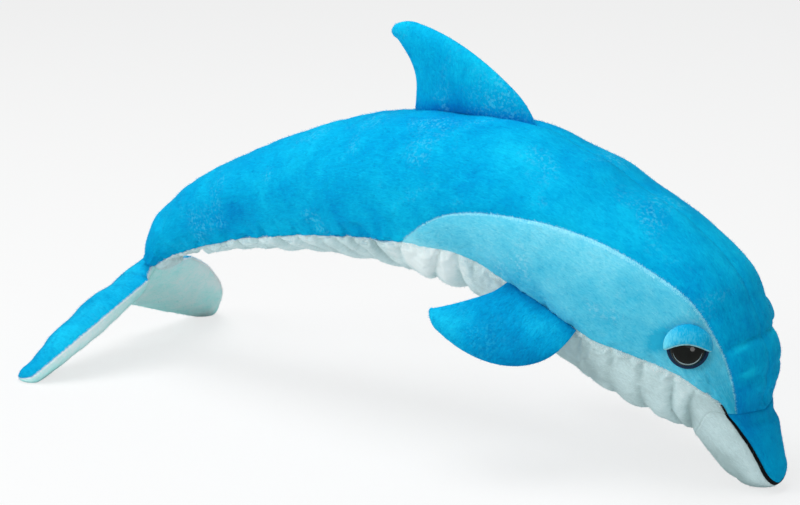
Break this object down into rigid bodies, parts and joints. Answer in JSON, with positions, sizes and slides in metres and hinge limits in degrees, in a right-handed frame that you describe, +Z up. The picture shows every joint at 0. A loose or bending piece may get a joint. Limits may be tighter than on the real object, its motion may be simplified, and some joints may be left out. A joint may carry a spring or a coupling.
{
  "type": "plush dolphin",
  "caption": "Stuffed plush dolphin standing as an arch on its beak and fluke tips, sewn from blue, sky-blue and white panels, with soft sprung fin, flippers and flukes.",
  "frame": {"origin": "middle of the bounding box, on the floor that the beak and the fluke tips rest on", "axes": "+X towards the beak, +Y to the dolphin's left, +Z up"},
  "size_m": [0.5254, 0.1984, 0.2515],
  "materials": {
    "blue_plush": "short brushed pile",
    "limb_plush": "short brushed pile",
    "sky_plush": "short brushed pile",
    "white_plush": "short brushed pile",
    "mint_plush": "short brushed pile",
    "mouth_cord": "black braid",
    "stuffing": "loose polyester fibre",
    "eye_bead": "polished",
    "felt": "pressed felt",
    "washer": "moulded"
  },
  "bodies": {
    "torso": {"back_panel_right": "blue_plush", "back_panel_left": "blue_plush", "side_patch_right": "sky_plush", "side_patch_left": "sky_plush", "belly_panel": "white_plush", "chin_panel": "white_plush", "beak_panel": "blue_plush", "mouth_cord": "mouth_cord", "tail_stuffing": "stuffing", "loin_stuffing": "stuffing", "chest_stuffing": "stuffing", "head_stuffing": "stuffing", "beak_stuffing": "stuffing", "eye_bead_right": "eye_bead", "eye_bead_left": "eye_bead", "eye_felt_right": "felt", "eye_felt_left": "felt", "eye_washer_right": "washer", "eye_washer_left": "washer", "eyelid_right": "limb_plush", "eyelid_left": "limb_plush"},
    "dorsal_fin": {"fin_panel_right": "blue_plush", "fin_panel_left": "blue_plush", "fin_stuffing": "stuffing"},
    "right_flipper": {"flipper_top_right": "limb_plush", "flipper_under_right": "limb_plush", "flipper_stuffing_right": "stuffing"},
    "left_flipper": {"flipper_top_left": "limb_plush", "flipper_under_left": "limb_plush", "flipper_stuffing_left": "stuffing"},
    "flukes": {"fluke_top_right": "limb_plush", "fluke_top_left": "limb_plush", "fluke_under_right": "mint_plush", "fluke_under_left": "mint_plush", "fluke_stuffing_right": "stuffing", "fluke_stuffing_left": "stuffing"}
  },
  "joints": [
    {"name": "fin_flop", "type": "hinge", "parent": "torso", "child": "dorsal_fin", "pos_m": [0.00342, 0, 0.20386], "axis": [0.9998, 0, -0.0178], "range_deg": [-35, 35], "stiffness_Nm_per_rad": 0.03},
    {"name": "right_flipper_swing", "type": "hinge", "parent": "torso", "child": "right_flipper", "pos_m": [0.11668, -0.04964, 0.09933], "axis": [-0.9489, 0.0658, 0.3086], "range_deg": [-40, 45], "stiffness_Nm_per_rad": 0.03},
    {"name": "left_flipper_swing", "type": "hinge", "parent": "torso", "child": "left_flipper", "pos_m": [0.11668, 0.04964, 0.09933], "axis": [0.9489, 0.0658, -0.3086], "range_deg": [-40, 45], "stiffness_Nm_per_rad": 0.03},
    {"name": "fluke_bend", "type": "hinge", "parent": "torso", "child": "flukes", "pos_m": [-0.2161, 0, 0.07129], "axis": [0, 1, 0], "range_deg": [-30, 30], "stiffness_Nm_per_rad": 2}
  ]
}
